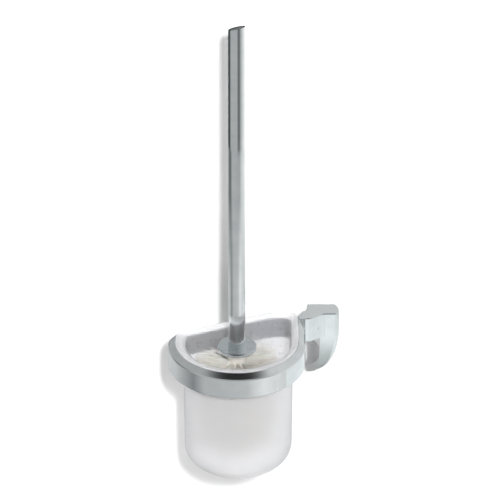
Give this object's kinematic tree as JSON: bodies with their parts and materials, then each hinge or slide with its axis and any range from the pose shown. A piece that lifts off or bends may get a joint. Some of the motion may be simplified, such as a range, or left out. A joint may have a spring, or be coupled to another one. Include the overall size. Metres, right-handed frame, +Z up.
{
  "type": "toilet brush holder",
  "caption": "Wall-hung toilet brush holder: chrome ring on a side foot, lift-out frosted half-moon glass and a brush with a plain chrome stick.",
  "frame": {"origin": "centre of the foot's wall face", "axes": "+Z up, +Y into the wall, +X to the right seen from the front"},
  "size_m": [0.132, 0.1074, 0.385],
  "materials": {
    "chrome": "polished",
    "plate_steel": "zinc plated",
    "screw_steel": "machined",
    "liner_plastic": "soft clear",
    "frosted_glass": "satin frosted",
    "cap_plastic": "moulded",
    "brass": "machined",
    "seal_rubber": "matt",
    "core_plastic": "moulded",
    "bristle": "nylon filaments"
  },
  "bodies": {
    "holder": {"ring_holder": "chrome", "foot_cover": "chrome", "wall_plate": "plate_steel", "arm_screw": "screw_steel", "arm_washer": "screw_steel", "grub_screw": "screw_steel", "seat_liner": "liner_plastic"},
    "vessel": {"glass_vessel": "frosted_glass"},
    "brush": {"handle_tube": "chrome", "handle_cap": "cap_plastic", "handle_bush": "brass", "splash_disc": "chrome", "sealing_washer": "seal_rubber", "head_stud": "screw_steel", "head_nut": "screw_steel", "brush_core": "core_plastic", "bristle_crown": "bristle", "bristle_row_1": "bristle", "bristle_row_2": "bristle", "bristle_row_3": "bristle", "bristle_row_4": "bristle", "bristle_row_5": "bristle", "bristle_row_6": "bristle", "bristle_row_7": "bristle"}
  },
  "joints": [
    {"name": "vessel_lift", "type": "slide", "parent": "holder", "child": "vessel", "axis": [0, 0, 1], "range_m": [0, 0.112]},
    {"name": "brush_lift", "type": "slide", "parent": "vessel", "child": "brush", "axis": [0, 0, 1], "range_m": [0, 0.11]}
  ]
}
